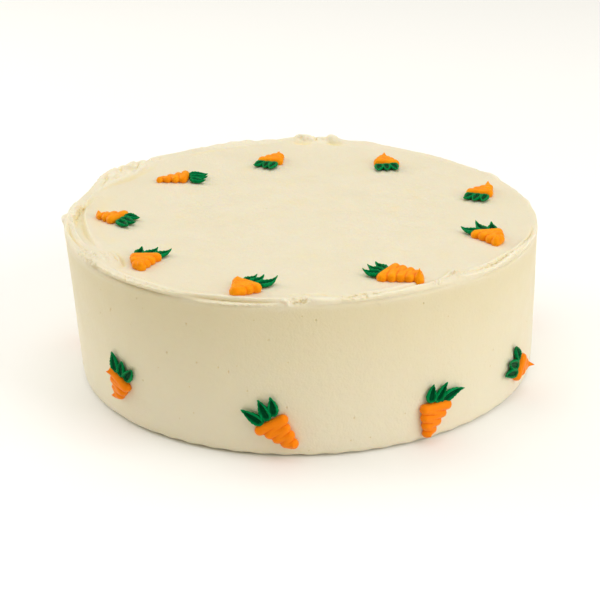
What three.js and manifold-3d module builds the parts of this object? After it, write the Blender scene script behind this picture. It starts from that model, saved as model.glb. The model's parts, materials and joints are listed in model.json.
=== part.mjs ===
// A round, double-layer carrot cake under a smooth coat of cream-cheese icing, with nine small
// carrots piped round its top and nine more round the foot of its wall.
//
// Millimetres, +Z up, the front towards -Y, the origin in the middle of the underside.
// The cake is one closed solid. Each piped carrot is two solids, an orange root and a tuft of
// three green leaves, which lie on the icing with a hair's gap.

import * as THREE from 'three';
import { mergeVertices } from 'three/addons/utils/BufferGeometryUtils.js';
import Module from 'manifold-3d';

const wasm = await Module();
wasm.setup();

// ---------------------------------------------------------------- driving dimensions

const baseRadius = 106.7; // 8 in layers with about 5 mm of icing round them
const rimRadius = 109.6; // the wall leans out a little towards the top
const cakeHeight = 74.3; // in the middle of the top
const topSlope = { x: -0.021, y: 0.001 }; // the top falls this much for each millimetre
const rimDrift = -1.9; // the top sits this far to the left of the base

const footRound = 1.2; // rounding where the wall meets what it stands on
const lipDepth = 5; // the wall's last stretch, where the lip can hang over
const lipUnderside = 3; // below the top
const lipNose = 1.5; // below the top, where a lip stands out furthest
const crestInset = 2.2; // from the wall to the crest of the rim
const flankWidth = 3; // from the crest down to the flat of the top
const apronWidth = 16; // from the wall to where the top is wholly flat
const bareRim = { lift: 0.3, overhang: 0.2, shelf: 0, dip: 0 };

const wallSteps = 4;
const wheelSteps = 120; // points round the cake
const topRings = [0.62, 0.3]; // rings on the flat of the top, as shares of the rim's radius

const seatGap = 0.3; // between a piped piece and the icing below it
const leafStacking = 0.06; // each leaf of a tuft starts this much higher than the one before
const leafSpacing = 2.8; // between the feet of neighbouring leaves
const leafWidth = 5.4;
const leafHeight = 2.2;
const leafCurl = 1.8; // how far a leaf's tip stands off the icing
const rootHeight = 3.7;
const rootBelly = 0.36; // the height of a root's widest line, as a share of its height
const rootPitch = 4.4; // from one pass of the zigzag to the next on the same side
const tipShare = 0.42; // a root's width at its tip, as a share of its shoulder

const cream = new THREE.Color(0.86, 0.77, 0.56);
const orange = new THREE.Color(0.93, 0.27, 0.012);
const green = new THREE.Color(0.004, 0.15, 0.045);

// What the spatula left round the rim. at and spread are degrees round the cake from +X;
// lift is the crest's height over the top, overhang how far the lip stands out past the wall,
// shelf how much wider the rim grows inwards, and dip the depth of the furrow inside it.
const rimFeatures = [
  { name: 'step, right back', at: 25, spread: 4, lift: 0.7, overhang: 0.3, shelf: 0, dip: 0 },
  { name: 'step, back', at: 70, spread: 6, lift: 1, overhang: 0.2, shelf: 1, dip: 0 },
  { name: 'first back peak', at: 80, spread: 3, lift: 2.6, overhang: 0.4, shelf: 1, dip: 0.6 },
  { name: 'second back peak', at: 88.5, spread: 3.5, lift: 2.7, overhang: 0.4, shelf: 1, dip: 0.6 },
  { name: 'back swell', at: 106, spread: 5, lift: 0.9, overhang: 0.2, shelf: 2, dip: 0.4 },
  { name: 'ragged lip, start', at: 130, spread: 3.5, lift: 1, overhang: 0.4, shelf: 1, dip: 0.3 },
  { name: 'ragged lip, rise', at: 142, spread: 4, lift: 2.4, overhang: 0.8, shelf: 1, dip: 0.5 },
  { name: 'ragged lip, middle', at: 148, spread: 4, lift: 1.9, overhang: 0.6, shelf: 1, dip: 0.4 },
  { name: 'ragged lip, peak', at: 154.5, spread: 5.5, lift: 3.4, overhang: 1, shelf: 2, dip: 0.6 },
  { name: 'left lip', at: 178, spread: 4, lift: 2.2, overhang: 0.4, shelf: 1, dip: 0.6 },
  { name: 'left knob', at: 184.5, spread: 2.5, lift: 0.8, overhang: 1.6, shelf: 1, dip: 0.3 },
  { name: 'inner furrow', at: 197, spread: 16, lift: 0.6, overhang: 0, shelf: 6, dip: 1.3 },
  { name: 'glob', at: 217, spread: 4.5, lift: 1.6, overhang: 0.3, shelf: 7, dip: -1.2 },
  { name: 'standing flap', at: 231, spread: 11, lift: 1, overhang: 0.5, shelf: 0, dip: 0 },
  { name: 'thin ledge', at: 254, spread: 11, lift: 0.4, overhang: 0.4, shelf: 0, dip: 0 },
  { name: 'torn ledge', at: 267, spread: 3.5, lift: 0.5, overhang: 0.9, shelf: 1, dip: 0 },
  { name: 'front ledge', at: 288, spread: 12, lift: 0.4, overhang: 0.7, shelf: 0, dip: 0.2 },
  { name: 'right knob', at: 310, spread: 3.5, lift: 1.4, overhang: 0.9, shelf: 1, dip: 0 },
  { name: 'right ridge', at: 324, spread: 10, lift: 0.8, overhang: 0.7, shelf: 0, dip: 0.2 },
];

// Each carrot: where its root meets its leaves, as degrees round the cake (at) and millimetres
// out from the middle (out) or up the wall (up); the way the root points (heading); its length
// and its width at the shoulder; and its three leaves, left to right seen from the root, each
// as degrees off straight back (lean) and millimetres long (reach).
// On the top a heading is measured like the azimuths. On the wall it is 0 along the wall
// towards growing azimuth and -90 straight down.
const topCarrots = [
  {
    at: 103.9, out: 68.4, heading: 63, length: 15, shoulder: 14,
    leaves: [[12, 7.5], [-11, 8], [-16, 8.5]],
  },
  {
    at: 140.1, out: 71.3, heading: 191, length: 17.5, shoulder: 12,
    leaves: [[60, 7.5], [28, 7.5], [16, 8]],
  },
  {
    at: 188.8, out: 84, heading: 155, length: 15, shoulder: 14,
    leaves: [[42, 8], [26, 8.5], [-4, 6.5]],
  },
  {
    at: 220.4, out: 90.7, heading: 264, length: 15.5, shoulder: 15,
    leaves: [[74, 8.5], [44, 6.5], [2, 6]],
  },
  {
    at: 256.2, out: 93.7, heading: 240, length: 15, shoulder: 17,
    leaves: [[42, 8], [17, 6.5], [20, 5.5]],
  },
  {
    at: 291.8, out: 86.5, heading: 336, length: 19.5, shoulder: 16,
    leaves: [[48, 5], [14, 6.5], [-13, 6.5]],
  },
  {
    at: 337.3, out: 88.9, heading: 287, length: 15.5, shoulder: 15.5,
    leaves: [[28, 6.5], [-6, 9], [-58, 8]],
  },
  {
    at: 9.3, out: 85.8, heading: 63, length: 16, shoulder: 14,
    leaves: [[14, 7.5], [-2, 8], [-16, 7]],
  },
  {
    at: 54.3, out: 74.7, heading: 93, length: 15.5, shoulder: 14.5,
    leaves: [[20, 7.5], [3, 7.5], [-14, 7.5]],
  },
];
const wallCarrots = [
  {
    at: 222.2, up: 27.2, heading: -112, length: 15.5, shoulder: 15.5,
    leaves: [[24, 8], [-4, 8], [-32, 8.5]],
  },
  {
    at: 260.6, up: 20.2, heading: -52, length: 18, shoulder: 17,
    leaves: [[44, 8], [22, 9], [-20, 9.5]],
  },
  {
    at: 300.5, up: 19.9, heading: -104, length: 17.5, shoulder: 16.5,
    leaves: [[76, 12], [26, 8.5], [-2, 7.5]],
  },
  {
    at: 329.6, up: 16.7, heading: -22, length: 14, shoulder: 14.5,
    leaves: [[50, 8.5], [10, 10], [-10, 11.5]],
  },
  {
    at: 12, up: 19, heading: -75, length: 16.5, shoulder: 15,
    leaves: [[30, 9], [6, 10.5], [-16, 9.5]],
  },
  {
    at: 52, up: 21, heading: -110, length: 17, shoulder: 14.5,
    leaves: [[24, 10], [-4, 9.5], [-30, 9]],
  },
  {
    at: 92, up: 18.5, heading: -60, length: 16, shoulder: 16,
    leaves: [[40, 9], [12, 10], [-20, 8.5]],
  },
  {
    at: 132, up: 22, heading: -95, length: 17.5, shoulder: 14,
    leaves: [[18, 9.5], [0, 11], [-24, 9.5]],
  },
  {
    at: 172, up: 20, heading: -122, length: 16.5, shoulder: 15,
    leaves: [[35, 8.5], [8, 10], [-12, 10]],
  },
];

// ---------------------------------------------------------------- small helpers

const radians = THREE.MathUtils.degToRad;
const lerp = THREE.MathUtils.lerp;

// A closed skin over a stack of rings, from one pole to the other. Each ring runs
// anticlockwise when seen from the last pole.
function skin(firstPole, rings, lastPole) {
  const around = rings[0].length;
  const points = [firstPole, ...rings.flat(), lastPole];
  const faces = [];
  const corner = (ring, j) => 1 + ring * around + (j % around);
  for (let j = 0; j < around; j++) {
    faces.push(0, corner(0, j + 1), corner(0, j));
    faces.push(corner(rings.length - 1, j), corner(rings.length - 1, j + 1), points.length - 1);
  }
  for (let ring = 0; ring < rings.length - 1; ring++) {
    for (let j = 0; j < around; j++) {
      faces.push(corner(ring, j), corner(ring, j + 1), corner(ring + 1, j + 1));
      faces.push(corner(ring, j), corner(ring + 1, j + 1), corner(ring + 1, j));
    }
  }
  const geometry = new THREE.BufferGeometry().setFromPoints(points);
  geometry.setIndex(faces);
  return geometry;
}

function toSolid(geometry) {
  const welded = mergeVertices(geometry);
  const vertProperties = Float32Array.from(welded.attributes.position.array);
  const triVerts = Uint32Array.from(welded.index.array);
  return new wasm.Manifold(new wasm.Mesh({ numProp: 3, vertProperties, triVerts }));
}

function toGeometry(solid) {
  const mesh = solid.getMesh();
  const geometry = new THREE.BufferGeometry();
  geometry.setAttribute('position', new THREE.BufferAttribute(mesh.vertProperties, 3));
  geometry.setIndex(new THREE.BufferAttribute(mesh.triVerts, 1));
  return geometry;
}

// Moves every point of a geometry to where map sends it.
function reshape(geometry, map) {
  const position = geometry.attributes.position;
  const point = new THREE.Vector3();
  for (let i = 0; i < position.count; i++) {
    point.copy(map(point.fromBufferAttribute(position, i)));
    position.setXYZ(i, point.x, point.y, point.z);
  }
  geometry.computeVertexNormals();
  return geometry;
}

// ---------------------------------------------------------------- the frosted cake

// How far round the cake azimuth a lies from azimuth b, in degrees, at most 180.
function apart(a, b) {
  const turn = Math.abs(a - b) % 360;
  return Math.min(turn, 360 - turn);
}

function rimAt(azimuth) {
  const rim = { ...bareRim };
  for (const feature of rimFeatures) {
    const share = Math.exp(-((apart(azimuth, feature.at) / feature.spread) ** 2));
    for (const size of Object.keys(bareRim)) rim[size] += share * feature[size];
  }
  return rim;
}

// Hand-iced cakes are not quite round: two and three gentle swells round each outline.
function baseOutline(angle) {
  return baseRadius + 1.9 * Math.cos(2 * angle) - 0.6 * Math.sin(2 * angle);
}

function rimOutline(angle) {
  return rimRadius + 1.3 * Math.cos(3 * angle) - 1.6 * Math.sin(3 * angle);
}

function topHeight(x, y) {
  return cakeHeight + topSlope.x * x + topSlope.y * y;
}

// A point on the wall's surface, at an angle round the cake and a height.
function wallPoint(angle, z) {
  const share = z / cakeHeight;
  const radius = lerp(baseOutline(angle), rimOutline(angle), share);
  return new THREE.Vector3(rimDrift * share + radius * Math.cos(angle), radius * Math.sin(angle), z);
}

// The rim's profile over the top: pairs of distance in from the edge and height.
function rimProfile(rim) {
  return [
    [crestInset, rim.lift],
    [crestInset + 0.5 * (flankWidth + rim.shelf), 0.45 * rim.lift - 0.5 * rim.dip],
    [crestInset + flankWidth + rim.shelf, -rim.dip],
    [apronWidth, 0],
  ];
}

// The cake's section at one azimuth, from the foot up the wall, over the lip and in over the top.
function section(azimuth) {
  const angle = radians(azimuth);
  const outward = new THREE.Vector3(Math.cos(angle), Math.sin(angle), 0);
  const rim = rimAt(azimuth);
  const edge = wallPoint(angle, cakeHeight);
  edge.z = topHeight(edge.x, edge.y);
  const wallTop = edge.z - lipDepth;

  const points = [wallPoint(angle, 0).addScaledVector(outward, -footRound)];
  for (let step = 0; step <= wallSteps; step++) {
    points.push(wallPoint(angle, lerp(footRound, wallTop, step / wallSteps)));
  }
  const onRim = (out, up) => {
    const point = edge.clone().addScaledVector(outward, out);
    point.z = topHeight(point.x, point.y) + up;
    points.push(point);
  };
  onRim(0.6 * rim.overhang, -lipUnderside);
  onRim(rim.overhang, -lipNose);
  onRim(0.6 * rim.overhang - 0.35 * crestInset, 0.5 * rim.lift - 0.2);
  for (const [inset, up] of rimProfile(rim)) onRim(-inset, up);
  for (const share of topRings) {
    const point = outward.clone().multiplyScalar(share * rimRadius);
    point.z = topHeight(point.x, point.y);
    points.push(point);
  }
  return points;
}

function frostedCake() {
  const sections = [];
  for (let j = 0; j < wheelSteps; j++) sections.push(section((360 * j) / wheelSteps));
  const rings = sections[0].map((_, ring) => sections.map((points) => points[ring]));
  const underside = new THREE.Vector3(0, 0, 0);
  const middle = new THREE.Vector3(0, 0, topHeight(0, 0));
  return skin(underside, rings, middle);
}

// ---------------------------------------------------------------- a piped carrot
// Both pieces are made flat: x runs from the shoulder to the root's tip, y across, z off the icing.

// The root is one bead of icing piped in a zigzag that narrows towards the tip. At every half
// pitch the bead turns back on one side, where it bulges, and leaves a crease on the other.
function carrotRoot({ length, shoulder }) {
  const around = 8;
  const turns = Math.round((2 * length) / rootPitch) + 1;
  const rings = [];
  for (let turn = 0; turn < turns; turn++) {
    const along = (turn + 0.5) / turns;
    const halfWidth = 0.5 * shoulder * lerp(1, tipShare, along ** 1.15);
    const height = rootHeight * lerp(1, 0.72, along ** 2);
    const ring = [];
    for (let j = 0; j < around; j++) {
      const angle = (2 * Math.PI * j) / around;
      const side = Math.cos(angle) > 0 ? turn % 2 : (turn + 1) % 2;
      const bulge = Math.abs(Math.cos(angle)) < 0.1 ? 0.92 : lerp(0.8, 1.04, side);
      const rise = Math.max(0, rootBelly + (1 - rootBelly) * Math.sin(angle));
      const y = halfWidth * Math.cos(angle) * bulge;
      ring.push(new THREE.Vector3(length * along, y, seatGap + height * rise * bulge));
    }
    rings.push(ring);
  }
  const back = new THREE.Vector3(0, 0, seatGap + 0.4 * rootHeight);
  const tip = new THREE.Vector3(length, 0, seatGap + 0.25 * rootHeight);
  return skin(back, rings, tip);
}

// A leaf is a teardrop with a furrow between two raised edges, pulled to a point that curls up.
function leaf(foot, lean, reach, floor) {
  const forward = new THREE.Vector3(-Math.cos(lean), Math.sin(lean), 0);
  const left = new THREE.Vector3(-forward.y, forward.x, 0);
  const place = (along, across, up) => {
    const point = foot.clone().addScaledVector(forward, reach * along);
    point.addScaledVector(left, across);
    point.z = floor + leafCurl * along ** 3 + up;
    return point;
  };
  const outline = [[0.1, 0.76], [0.34, 1], [0.66, 0.68], [0.88, 0.26]]; // along, width
  const across = [[1, 0.25], [0.55, 1], [0, 0.6], [-0.55, 1], [-1, 0.25], [0, 0]]; // side, rise
  const rings = outline.map(([along, width]) =>
    across.map(([side, rise]) =>
      place(along, 0.5 * leafWidth * width * side, leafHeight * rise * (0.35 + 0.65 * width)),
    ),
  );
  return skin(place(0, 0, 0.3 * leafHeight), rings, place(1, 0, 0.2 * leafHeight));
}

function leafTuft({ leaves }) {
  const solids = leaves.map(([lean, reach], i) => {
    const foot = new THREE.Vector3(-seatGap, (1 - i) * leafSpacing, 0);
    // a leaf that leans far over starts further back, clear of the shoulder
    foot.x -= 0.4 * leafWidth * Math.sin(Math.abs(radians(lean)));
    return toSolid(leaf(foot, radians(lean), reach, seatGap + i * leafStacking));
  });
  return toGeometry(solids.reduce((tuft, solid) => tuft.add(solid)));
}

// ---------------------------------------------------------------- seats for the carrots

// How far the rim stands above the flat of the top at a point.
function rimHeight(x, y) {
  const angle = Math.atan2(y, x);
  const edge = wallPoint(angle, cakeHeight).setZ(0).length();
  const inset = Math.max(edge - Math.hypot(x, y), crestInset);
  const profile = rimProfile(rimAt(THREE.MathUtils.radToDeg(angle)));
  for (let i = 1; i < profile.length; i++) {
    const [[nearInset, nearUp], [farInset, farUp]] = [profile[i - 1], profile[i]];
    if (inset > farInset) continue;
    return Math.max(lerp(nearUp, farUp, (inset - nearInset) / (farInset - nearInset)), 0);
  }
  return 0;
}

// On the top: the flat pattern is turned to its heading and laid on the top and the rim.
function topSeat({ at, out, heading }) {
  const turn = new THREE.Matrix4().makeRotationZ(radians(heading));
  const centre = new THREE.Vector3(out * Math.cos(radians(at)), out * Math.sin(radians(at)), 0);
  return (point) => {
    const placed = point.clone().applyMatrix4(turn).add(centre);
    placed.z += topHeight(placed.x, placed.y) + rimHeight(placed.x, placed.y);
    return placed;
  };
}

// On the wall: the turned pattern is wrapped round the cake, and z stands out from the wall.
function wallSeat({ at, up, heading }) {
  const turn = new THREE.Matrix4().makeRotationZ(radians(heading));
  const radius = wallPoint(radians(at), up).setZ(0).length();
  return (point) => {
    const flat = point.clone().applyMatrix4(turn);
    const angle = radians(at) + flat.x / radius;
    const z = up + flat.y;
    const around = wallPoint(angle + radians(1), z).sub(wallPoint(angle - radians(1), z));
    const upward = wallPoint(angle, z + 1).sub(wallPoint(angle, z - 1));
    const outward = around.cross(upward).normalize();
    return wallPoint(angle, z).addScaledVector(outward, flat.z);
  };
}

// ---------------------------------------------------------------- the scene graph

function icing(colour, roughness) {
  return new THREE.MeshStandardMaterial({ color: colour, roughness, metalness: 0 });
}

function pipedCarrot(place, numbers, seat) {
  const carrot = new THREE.Group();
  const anchor = seat(new THREE.Vector3(0, 0, 0));
  carrot.position.copy(anchor);
  const onSeat = (point) => seat(point).sub(anchor);
  const root = new THREE.Mesh(reshape(carrotRoot(numbers), onSeat), icing(orange, 0.45));
  const leaves = new THREE.Mesh(reshape(leafTuft(numbers), onSeat), icing(green, 0.4));
  root.name = `carrot_root_${place}`;
  leaves.name = `carrot_leaves_${place}`;
  carrot.add(root, leaves);
  return carrot;
}

const cake = new THREE.Group();
const body = new THREE.Mesh(frostedCake(), icing(cream, 0.55));
body.name = 'frosted_cake';
cake.add(body);
topCarrots.forEach((numbers, i) => cake.add(pipedCarrot(`top_${i + 1}`, numbers, topSeat(numbers))));
wallCarrots.forEach((numbers, i) => cake.add(pipedCarrot(`wall_${i + 1}`, numbers, wallSeat(numbers))));

// The middle of the whole cake's underside becomes the origin.
const box = new THREE.Box3().setFromObject(cake);
const middle = box.getCenter(new THREE.Vector3());
cake.position.set(-middle.x, -middle.y, -box.min.z);

const part = new THREE.Group();
part.add(cake);
export default part;
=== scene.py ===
# %% [markdown]
# # A carrot cake with piped carrots
#
# The object is a round double-layer cake under a hand-spread coat of cream-cheese icing, with
# eighteen small carrots piped on it: nine round the top and nine round the foot of the wall.
# The construction is a fixed frame made in CAD. Here each plain solid is replaced by a piece
# with the real surface: the coat with its spatula marks and torn rim, the zigzag roots and the
# furrowed leaves.

# %% The frame
import json
import math

import bpy
import numpy as np
from mathutils import Matrix, Vector, noise
from mathutils.bvhtree import BVHTree

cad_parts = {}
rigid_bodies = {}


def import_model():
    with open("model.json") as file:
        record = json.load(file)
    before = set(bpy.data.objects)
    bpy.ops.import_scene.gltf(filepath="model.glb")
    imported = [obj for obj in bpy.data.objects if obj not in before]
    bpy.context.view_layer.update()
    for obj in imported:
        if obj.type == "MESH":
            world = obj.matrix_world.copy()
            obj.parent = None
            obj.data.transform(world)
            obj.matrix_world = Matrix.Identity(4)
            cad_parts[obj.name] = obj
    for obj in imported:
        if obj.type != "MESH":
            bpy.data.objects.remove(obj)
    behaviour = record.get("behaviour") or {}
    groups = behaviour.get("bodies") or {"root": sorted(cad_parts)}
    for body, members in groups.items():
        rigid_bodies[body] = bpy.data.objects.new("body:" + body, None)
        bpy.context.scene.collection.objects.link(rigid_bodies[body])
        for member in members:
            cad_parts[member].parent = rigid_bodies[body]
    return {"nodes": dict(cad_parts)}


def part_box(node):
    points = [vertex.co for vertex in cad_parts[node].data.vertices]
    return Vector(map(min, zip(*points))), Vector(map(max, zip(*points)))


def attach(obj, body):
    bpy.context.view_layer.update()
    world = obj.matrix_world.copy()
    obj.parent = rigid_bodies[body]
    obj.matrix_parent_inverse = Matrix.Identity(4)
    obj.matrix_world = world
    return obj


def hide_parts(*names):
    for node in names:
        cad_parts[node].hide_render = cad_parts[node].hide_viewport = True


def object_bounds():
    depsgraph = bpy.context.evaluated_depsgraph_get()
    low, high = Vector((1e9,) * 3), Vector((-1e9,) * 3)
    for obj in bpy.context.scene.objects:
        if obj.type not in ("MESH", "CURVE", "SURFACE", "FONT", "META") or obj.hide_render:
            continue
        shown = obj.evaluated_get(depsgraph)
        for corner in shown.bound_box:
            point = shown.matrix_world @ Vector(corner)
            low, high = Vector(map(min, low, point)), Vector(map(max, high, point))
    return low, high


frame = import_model()
cad_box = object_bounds()
MM = 0.001
print("the CAD cake measures", [round(side / MM, 1) for side in cad_box[1] - cad_box[0]], "mm")


# %% [markdown]
# ## Small helpers
#
# Blender's operators act on whatever is selected, and the loaded frame leaves its nodes
# selected. So every step starts by selecting one piece only. Points are read and written in
# millimetres, because icing is a matter of millimetres.

# %% Selecting, reading and writing a piece
def alone(*pieces):
    """Selects only these pieces and makes the first one active."""
    if bpy.context.object and bpy.context.object.mode != "OBJECT":
        bpy.ops.object.mode_set(mode="OBJECT")
    bpy.ops.object.select_all(action="DESELECT")
    for piece in pieces:
        piece.select_set(True)
    bpy.context.view_layer.objects.active = pieces[0]


def select_faces(piece, chosen):
    """Selects these faces of a piece and nothing else on it, ready for edit mode."""
    alone(piece)
    bpy.context.tool_settings.mesh_select_mode = (False, False, True)
    piece.data.vertices.foreach_set("select", np.zeros(len(piece.data.vertices), dtype=bool))
    piece.data.edges.foreach_set("select", np.zeros(len(piece.data.edges), dtype=bool))
    piece.data.polygons.foreach_set("select", np.asarray(chosen, dtype=bool))


def points_of(piece):
    """The piece's points in millimetres, one row each."""
    flat = np.empty(3 * len(piece.data.vertices))
    piece.data.vertices.foreach_get("co", flat)
    return flat.reshape(-1, 3) / MM


def put_points(piece, points):
    piece.data.vertices.foreach_set("co", (points * MM).ravel())
    piece.data.update()


def normals_of(piece):
    flat = np.empty(3 * len(piece.data.vertices))
    piece.data.vertex_normals.foreach_get("vector", flat)
    return flat.reshape(-1, 3)


def paint(piece, name, amounts):
    """Stores one number for each point, which a material can read by this name."""
    attribute = piece.data.attributes.new(name, "FLOAT", "POINT")
    attribute.data.foreach_set("value", np.asarray(amounts, dtype=np.float32))


def finish_piece(piece, slot, *nodes):
    """Hides the CAD nodes that the piece stands for and lets it ride on the cake."""
    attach(piece, "root")
    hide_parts(*nodes)


def noise_at(points, size, octaves=3):
    """Soft noise of about -1 to 1, with swells of the given size in millimetres."""
    return np.array([noise.fractal(Vector(p / size), 0.6, 2.0, octaves) for p in points])


def grip(distance, reach):
    """A soft brush: 1 at no distance, fading to 0 a little past its reach."""
    return np.exp(-((distance / reach) ** 2))


# %% [markdown]
# ## The camera
#
# The cake is seen from a little above, from the front, on a long lens, by a camera that is held
# under two degrees out of level. The camera comes first, because what it sees decides where
# detail matters most.

# %% The camera
cake_middle = (cad_box[0] + cad_box[1]) / 2
AIM = Vector((cake_middle.x - 2.4 * MM, cake_middle.y + 0.2 * MM, 40 * MM))
CAMERA_DISTANCE = 0.72
CAMERA_RISE = math.radians(22.64)
CAMERA_ROLL = math.radians(-1.75)

camera = bpy.data.objects.new("camera", bpy.data.cameras.new("camera"))
bpy.context.scene.collection.objects.link(camera)
bpy.context.scene.camera = camera
camera.data.sensor_width = 36
camera.data.lens = 89.8
camera.data.shift_x = 0.0038
camera.data.shift_y = -0.0401
backwards = Vector((0, -math.cos(CAMERA_RISE), math.sin(CAMERA_RISE)))
camera.location = AIM + backwards * CAMERA_DISTANCE
turn = (-backwards).to_track_quat("-Z", "Y").to_matrix() @ Matrix.Rotation(CAMERA_ROLL, 3, "Z")
camera.rotation_euler = turn.to_euler()
print("the camera stands", round(camera.location.length, 2), "m from the cake's foot")


# %% [markdown]
# ## The icing coat: a fine mesh from the frame
#
# The coat is one skin of icing over the whole cake. Its large form is already in the frame: the
# leaning wall, the sloping top and the lumps of the rim. So a copy of that solid is the best
# start. Its loose triangles are merged and joined into four-sided faces, and subdivision rounds
# them. The rim is cut once more, because the spatula's finest marks are there.

# %% A copy of the frame's cake, merged and rounded
def apply_modifier(piece, kind, **settings):
    """Adds a modifier with these settings to the active piece and applies it."""
    modifier = piece.modifiers.new(kind.lower(), kind)
    for setting, value in settings.items():
        setattr(modifier, setting, value)
    bpy.ops.object.modifier_apply(modifier=modifier.name)


coat = bpy.data.objects.new("icing_coat", frame["nodes"]["frosted_cake"].data.copy())
bpy.context.scene.collection.objects.link(coat)
coat.data.materials.clear()
alone(coat)
bpy.ops.object.mode_set(mode="EDIT")
bpy.ops.mesh.select_all(action="SELECT")
bpy.ops.mesh.remove_doubles(threshold=0.01 * MM)
bpy.ops.mesh.tris_convert_to_quads(face_threshold=math.pi, shape_threshold=math.pi)
bpy.ops.object.mode_set(mode="OBJECT")
apply_modifier(coat, "SUBSURF", levels=2, render_levels=2)
print("the rounded coat has", len(coat.data.polygons), "faces")


# %% Where a point lies on the coat
coat_points = points_of(coat)
flat_top = (np.hypot(coat_points[:, 0], coat_points[:, 1]) < 80) & (coat_points[:, 2] > 40)
level = np.c_[coat_points[flat_top, :2], np.ones(flat_top.sum())]
TOP_PLANE = np.linalg.lstsq(level, coat_points[flat_top, 2], rcond=None)[0]
print("the top lies at", round(TOP_PLANE[2], 1), "mm and falls", round(-100 * TOP_PLANE[0], 1), "%")


def top_height(points):
    return points[:, 0] * TOP_PLANE[0] + points[:, 1] * TOP_PLANE[1] + TOP_PLANE[2]


def azimuth_of(points):
    return np.degrees(np.arctan2(points[:, 1], points[:, 0])) % 360


below_lip = (top_height(coat_points) - coat_points[:, 2] > 5) & (
    top_height(coat_points) - coat_points[:, 2] < 12
)
wall_azimuths = azimuth_of(coat_points[below_lip])
wall_reach = np.hypot(coat_points[below_lip, 0], coat_points[below_lip, 1])
compass = np.arange(0, 360, 3)
wall_radius = np.array(
    [wall_reach[np.abs((wall_azimuths - a + 180) % 360 - 180) < 3].max() for a in compass]
)
print("the wall under the lip is", round(wall_radius.mean(), 1), "mm from the middle")


def lie_of(points):
    """Azimuth in degrees, and how far across the rim in mm: below 0 down the wall, above 0 in
    over the top."""
    azimuth = azimuth_of(points)
    inset = np.interp(azimuth, compass, wall_radius, period=360) - np.hypot(
        points[:, 0], points[:, 1]
    )
    drop = top_height(points) - points[:, 2]
    inset = np.where(drop < 30, np.maximum(inset, 0), 0)  # so that the underside isn't the rim
    return azimuth, inset - np.maximum(drop, 0)


# %% A finer mesh along the rim
MARKED_BAND = (-4, 12)  # mm across the rim where most of the marks are
QUIET_BAND = (-3, 7)  # and where there are few


def cut_finer(piece, chosen):
    """Cuts each of the chosen faces into four."""
    select_faces(piece, chosen)
    bpy.ops.object.mode_set(mode="EDIT")
    bpy.ops.mesh.subdivide(number_cuts=1)
    bpy.ops.object.mode_set(mode="OBJECT")


def middles_of(piece):
    return np.array([face.center for face in piece.data.polygons]) / MM


middle_azimuth, rim_across = lie_of(middles_of(coat))
quiet = (middle_azimuth < 72) | (middle_azimuth > 346)
low = np.where(quiet, QUIET_BAND[0], MARKED_BAND[0])
high = np.where(quiet, QUIET_BAND[1], MARKED_BAND[1])
cut_finer(coat, (rim_across > low) & (rim_across < high))
middle_azimuth, rim_across = lie_of(middles_of(coat))
left_shelf = (middle_azimuth > 170) & (middle_azimuth < 209)
left_shelf &= (rim_across > 3.5) & (rim_across < 10.5)
cut_finer(coat, left_shelf)
print("with a finer rim it has", len(coat.data.polygons), "faces")


# %% [markdown]
# ## The spatula's marks
#
# Icing is spread with a spatula, which leaves laps, ridges and furrows where it turns, and
# torn edges where it lifts. A sculptor would brush them on by hand. Each stroke here does the
# same in code: it follows a short route given as azimuth and distance across the rim, and
# lifts or presses the points near it.

# %% The stroke of a brush
ARC = wall_radius.mean() * math.pi / 180  # mm along the rim for each degree


def stroke(points, route, width, lift, lap=0):
    """How much a stroke moves each point. A lap has a sharp step on one side of its route and
    fades over that many mm on the other: inwards when it is above 0, outwards below 0."""
    azimuth, across = lie_of(points)
    start = route[0][0]
    along = ((azimuth - start + 180) % 360 - 180) * ARC
    knots = [(((a - start + 180) % 360 - 180) * ARC, c) for a, c in route]
    lengths = [math.dist(p, q) for p, q in zip(knots, knots[1:])]
    nearest = np.full(len(points), 1e9)
    aside = np.zeros(len(points))
    progress = np.zeros(len(points))
    gone = 0.0
    for (x0, y0), (x1, y1), length in zip(knots, knots[1:], lengths):
        dx, dy = (x1 - x0) / length, (y1 - y0) / length
        t = np.clip((along - x0) * dx + (across - y0) * dy, 0, length)
        off_x, off_y = along - x0 - t * dx, across - y0 - t * dy
        far = np.hypot(off_x, off_y)
        closer = far < nearest
        nearest = np.where(closer, far, nearest)
        aside = np.where(closer, np.sign(off_y * dx - off_x * dy) * far, aside)
        progress = np.where(closer, (gone + t) / sum(lengths), progress)
        gone += length
    ends = np.sin(np.pi * np.clip(progress, 0.02, 0.98)) ** 0.6
    if not lap:
        return lift * ends * grip(nearest, width)
    inside = aside * np.sign(lap)
    fade = np.where(inside > 0, np.clip(1 - inside / abs(lap), 0, 1) ** 1.5, grip(inside, width))
    return lift * ends * fade


print("one degree of the rim is", round(ARC, 2), "mm long")


# %% [markdown]
# ## The strokes round the rim
#
# The rim is where the coat of the wall meets the coat of the top, so it shows every turn of the
# spatula. Going round from the left: a furrow and a crisp lap inside a soft outer lip, a torn
# stretch with a glob, a flap that hangs over the wall, a thin ledge, a broken flake, then a
# double edge that runs off to the smooth right side. The back has a ragged lip of soft lumps
# and two peaks.

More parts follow.
